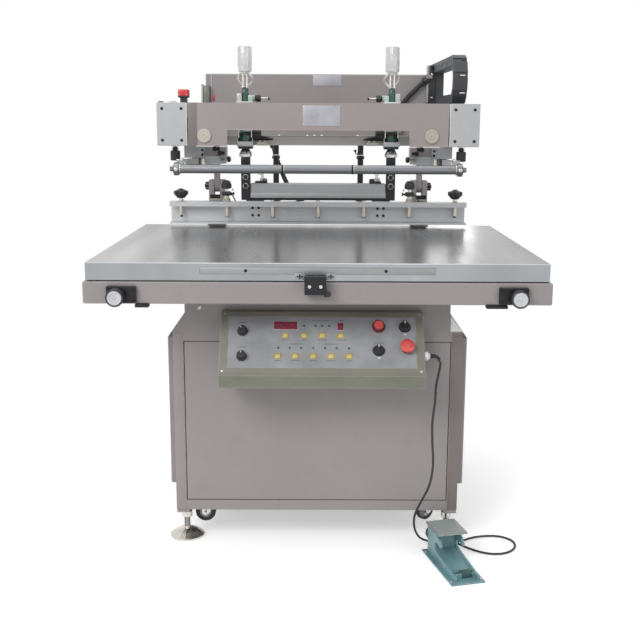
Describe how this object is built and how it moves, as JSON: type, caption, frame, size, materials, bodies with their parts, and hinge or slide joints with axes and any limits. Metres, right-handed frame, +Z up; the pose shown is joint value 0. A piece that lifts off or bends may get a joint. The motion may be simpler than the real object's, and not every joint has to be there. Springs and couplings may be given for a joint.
{
  "type": "flatbed screen printing machine",
  "caption": "Flatbed screen printer: printing table on a cabinet, control box, tilting head with squeegee carriage and screen clamp, safety bar, foot pedal.",
  "frame": {"origin": "on the floor under the middle of the machine's box, measured without the pedal's cord", "axes": "+Z up, +Y from the operator to the rear, +X to the operator's right"},
  "size_m": [1.216, 1.2502, 1.402],
  "materials": {
    "warm_grey_paint": "semi-matt textured paint",
    "stainless_steel": "fine brushed",
    "aluminium": "satin anodised",
    "chrome": "polished",
    "black_plastic": "moulded",
    "black_rubber": "matt",
    "black_steel": "blackened",
    "red_plastic": "glossy",
    "control_box_grey": "semi-matt paint",
    "off_white_plastic": "moulded",
    "teal_paint": "painted casting",
    "cylinder_finish": "turned, with clear and green plastic"
  },
  "bodies": {
    "stand": {"cabinet": "warm_grey_paint", "front_panel": "warm_grey_paint", "bed_frame": "warm_grey_paint", "stop_block": "black_steel", "adjuster_bracket_left": "black_steel", "adjuster_bracket_right": "black_steel", "control_box": "control_box_grey", "cord_gland": "off_white_plastic", "pedal_cord": "black_rubber", "pedal_base": "teal_paint", "hinge_post_left": "warm_grey_paint", "hinge_post_right": "warm_grey_paint", "foot_front_left": "chrome", "foot_front_right": "chrome", "foot_rear_left": "chrome", "foot_rear_right": "chrome"},
    "table": {"printing_table": "stainless_steel"},
    "adjuster_left": {"adjuster_knob_left": "black_plastic"},
    "adjuster_right": {"adjuster_knob_right": "black_plastic"},
    "speed_upper": {"speed_knob_upper": "black_plastic"},
    "speed_lower": {"speed_knob_lower": "black_plastic"},
    "button": {"push_button": "red_plastic"},
    "switch_upper": {"selector_upper": "black_plastic"},
    "switch_lower": {"selector_lower": "black_plastic"},
    "stop_button": {"emergency_stop": "red_plastic"},
    "treadle": {"pedal_treadle": "aluminium"},
    "head": {"side_arm_left": "aluminium", "side_arm_right": "aluminium", "rear_beam": "warm_grey_paint", "screen_clamp": "aluminium", "screen_carrier": "black_steel", "safety_bar": "chrome", "safety_strut_left": "aluminium", "safety_strut_right": "aluminium", "buffer_left": "black_rubber", "buffer_right": "black_rubber", "drag_chain": "black_plastic", "arm_switch": "red_plastic", "head_hose": "black_rubber", "chain_hose": "black_rubber"},
    "star_left": {"star_knob_left": "black_plastic"},
    "star_right": {"star_knob_right": "black_plastic"},
    "carriage": {"carriage_cover": "warm_grey_paint", "carriage_rail": "aluminium", "air_cylinder_left": "cylinder_finish", "air_cylinder_right": "cylinder_finish"},
    "squeegee": {"squeegee_rod_left": "chrome", "squeegee_rod_right": "chrome", "squeegee_bracket_left": "black_steel", "squeegee_bracket_right": "black_steel", "squeegee_holder": "aluminium", "squeegee_blade": "black_rubber"},
    "swivel_front_left": {"caster_fork_front_left": "chrome"},
    "wheel_front_left": {"caster_wheel_front_left": "black_rubber"},
    "swivel_front_right": {"caster_fork_front_right": "chrome"},
    "wheel_front_right": {"caster_wheel_front_right": "black_rubber"},
    "swivel_rear_left": {"caster_fork_rear_left": "chrome"},
    "wheel_rear_left": {"caster_wheel_rear_left": "black_rubber"},
    "swivel_rear_right": {"caster_fork_rear_right": "chrome"},
    "wheel_rear_right": {"caster_wheel_rear_right": "black_rubber"}
  },
  "joints": [
    {"name": "head_lift", "type": "hinge", "parent": "stand", "child": "head", "pos_m": [0, 0.47, 0.965], "axis": [-1, 0, 0], "range_deg": [0, 25]},
    {"name": "carriage_travel", "type": "slide", "parent": "head", "child": "carriage", "axis": [0, 1, 0], "range_m": [0, 0.34]},
    {"name": "squeegee_drop", "type": "slide", "parent": "carriage", "child": "squeegee", "axis": [0, 0, -1], "range_m": [0, 0.05]},
    {"name": "table_adjust", "type": "slide", "parent": "stand", "child": "table", "axis": [0, 1, 0], "range_m": [-0.01, 0.01]},
    {"name": "adjuster_left_turn", "type": "hinge", "parent": "stand", "child": "adjuster_left", "pos_m": [-0.517, -0.5173, 0.7485], "axis": [0, -1, 0], "continuous": true},
    {"name": "adjuster_right_turn", "type": "hinge", "parent": "stand", "child": "adjuster_right", "pos_m": [0.517, -0.5173, 0.7485], "axis": [0, -1, 0], "continuous": true},
    {"name": "speed_upper_turn", "type": "hinge", "parent": "stand", "child": "speed_upper", "pos_m": [-0.202, -0.40904, 0.6332], "axis": [0, -0.7712, 0.6366], "range_deg": [-150, 150]},
    {"name": "speed_lower_turn", "type": "hinge", "parent": "stand", "child": "speed_lower", "pos_m": [-0.202, -0.45679, 0.57537], "axis": [0, -0.7712, 0.6366], "range_deg": [-150, 150]},
    {"name": "button_press", "type": "slide", "parent": "stand", "child": "button", "axis": [0, 0.7712, -0.6366], "range_m": [0, 0.004], "stiffness_N_per_m": 400, "springref_m": -0.003},
    {"name": "selector_upper_turn", "type": "hinge", "parent": "stand", "child": "switch_upper", "pos_m": [0.236, -0.39949, 0.64477], "axis": [0, -0.7712, 0.6366], "range_deg": [-45, 45]},
    {"name": "selector_lower_turn", "type": "hinge", "parent": "stand", "child": "switch_lower", "pos_m": [0.164, -0.44469, 0.59002], "axis": [0, -0.7712, 0.6366], "range_deg": [-45, 45]},
    {"name": "stop_button_press", "type": "slide", "parent": "stand", "child": "stop_button", "axis": [0, 0.7712, -0.6366], "range_m": [0, 0.004]},
    {"name": "treadle_press", "type": "hinge", "parent": "stand", "child": "treadle", "pos_m": [0.34943, -0.41381, 0.0838], "axis": [0.9694, 0.2453, 0], "range_deg": [0, 3.5], "stiffness_Nm_per_rad": 3, "springref_deg": -11.46},
    {"name": "star_left_turn", "type": "hinge", "parent": "head", "child": "star_left", "pos_m": [-0.4665, 0.368, 0.919], "axis": [0, 0, 1], "continuous": true},
    {"name": "star_right_turn", "type": "hinge", "parent": "head", "child": "star_right", "pos_m": [0.4665, 0.368, 0.919], "axis": [0, 0, 1], "continuous": true},
    {"name": "swivel_turn_front_left", "type": "hinge", "parent": "stand", "child": "swivel_front_left", "pos_m": [-0.305, -0.265, 0.13], "axis": [0, 0, 1], "continuous": true},
    {"name": "wheel_turn_front_left", "type": "hinge", "parent": "swivel_front_left", "child": "wheel_front_left", "pos_m": [-0.327, -0.265, 0.062], "axis": [0, -1, 0], "continuous": true},
    {"name": "swivel_turn_front_right", "type": "hinge", "parent": "stand", "child": "swivel_front_right", "pos_m": [0.305, -0.265, 0.13], "axis": [0, 0, 1], "continuous": true},
    {"name": "wheel_turn_front_right", "type": "hinge", "parent": "swivel_front_right", "child": "wheel_front_right", "pos_m": [0.32056, -0.24944, 0.062], "axis": [-0.7071, 0.7071, 0], "continuous": true},
    {"name": "swivel_turn_rear_left", "type": "hinge", "parent": "stand", "child": "swivel_rear_left", "pos_m": [-0.305, 0.315, 0.13], "axis": [0, 0, 1], "continuous": true},
    {"name": "wheel_turn_rear_left", "type": "hinge", "parent": "swivel_rear_left", "child": "wheel_rear_left", "pos_m": [-0.294, 0.29595, 0.062], "axis": [0.866, 0.5, 0], "continuous": true},
    {"name": "swivel_turn_rear_right", "type": "hinge", "parent": "stand", "child": "swivel_rear_right", "pos_m": [0.305, 0.315, 0.13], "axis": [0, 0, 1], "continuous": true},
    {"name": "wheel_turn_rear_right", "type": "hinge", "parent": "swivel_rear_right", "child": "wheel_rear_right", "pos_m": [0.29748, 0.29433, 0.062], "axis": [0.9397, -0.342, 0], "continuous": true}
  ]
}
